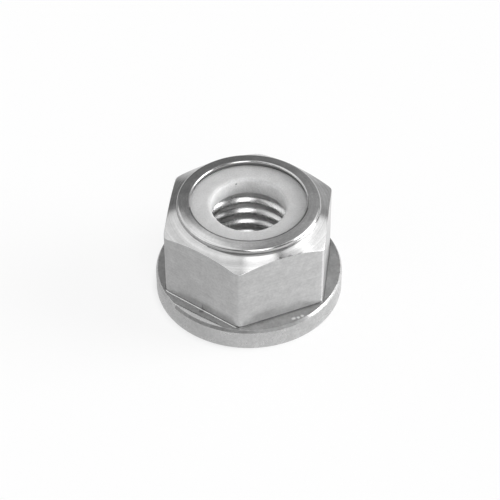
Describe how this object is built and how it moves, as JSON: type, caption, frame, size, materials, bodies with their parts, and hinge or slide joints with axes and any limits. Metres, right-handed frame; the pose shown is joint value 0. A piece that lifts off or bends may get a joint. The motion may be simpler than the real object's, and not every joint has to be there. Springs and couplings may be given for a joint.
{
  "type": "self-locking nut",
  "caption": "Hexagon nut with a narrow round flange and a nylon ring under a rolled lip, which grips the bolt so that it can't shake loose.",
  "frame": {"origin": "centre of the bearing face, the underside of the flange", "axes": "+Z along the thread's axis, from the bearing face to the locking ring; the hexagon's corners lie on +X and -X, and two flats face +Y and -Y"},
  "size_m": [0.0156, 0.0156, 0.0092],
  "materials": {
    "nut_metal": "bright machined metal, turned and milled",
    "nylon": "natural white nylon, satin"
  },
  "bodies": {
    "root": {"nut_body": "nut_metal", "locking_ring": "nylon"}
  },
  "joints": []
}
